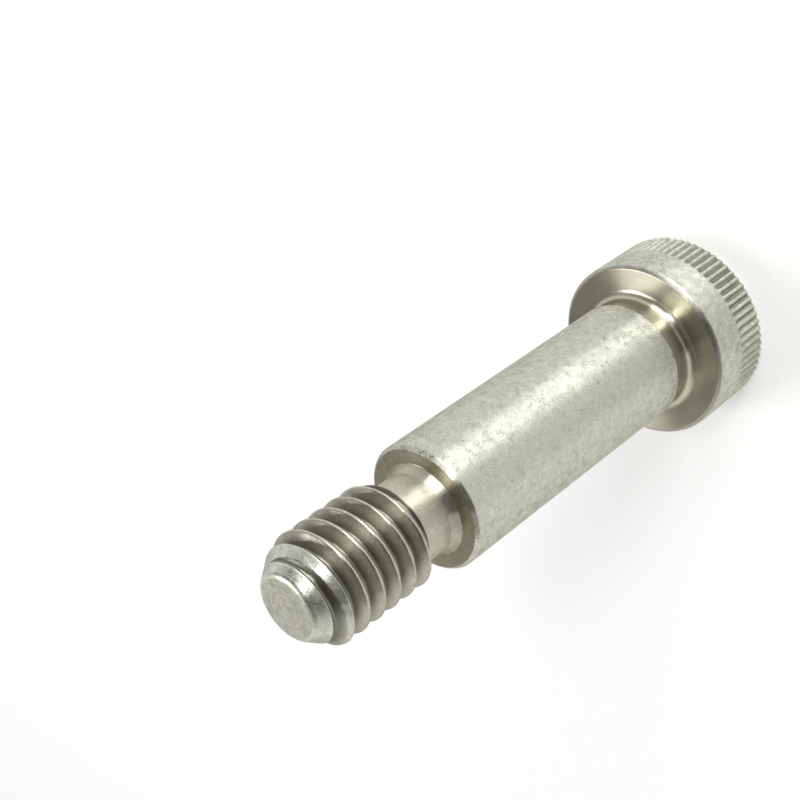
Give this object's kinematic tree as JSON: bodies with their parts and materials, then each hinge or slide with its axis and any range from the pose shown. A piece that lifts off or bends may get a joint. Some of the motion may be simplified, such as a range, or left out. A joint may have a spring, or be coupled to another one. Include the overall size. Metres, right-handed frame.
{
  "type": "shoulder bolt",
  "caption": "Socket-head shoulder bolt: knurled cylindrical head with a hex socket, a ground cylindrical shoulder, a relieved neck and a coarse right-hand threaded end.",
  "frame": {"origin": "the middle of the head's flat top, which is the face the bolt stands on", "axes": "+Z is the bolt's own axis, from the head up to the thread tip; the bolt is round about it. The first thread crest passes 3.4 mm above the shoulder's end on the -X side, and two flats of the hex socket face +X and -X"},
  "size_m": [0.0142, 0.0142, 0.0444],
  "materials": {
    "shoulder_bolt": "tumbled stainless steel, polished in the neck and under the head"
  },
  "bodies": {
    "root": {"shoulder_bolt": "shoulder_bolt"}
  },
  "joints": []
}
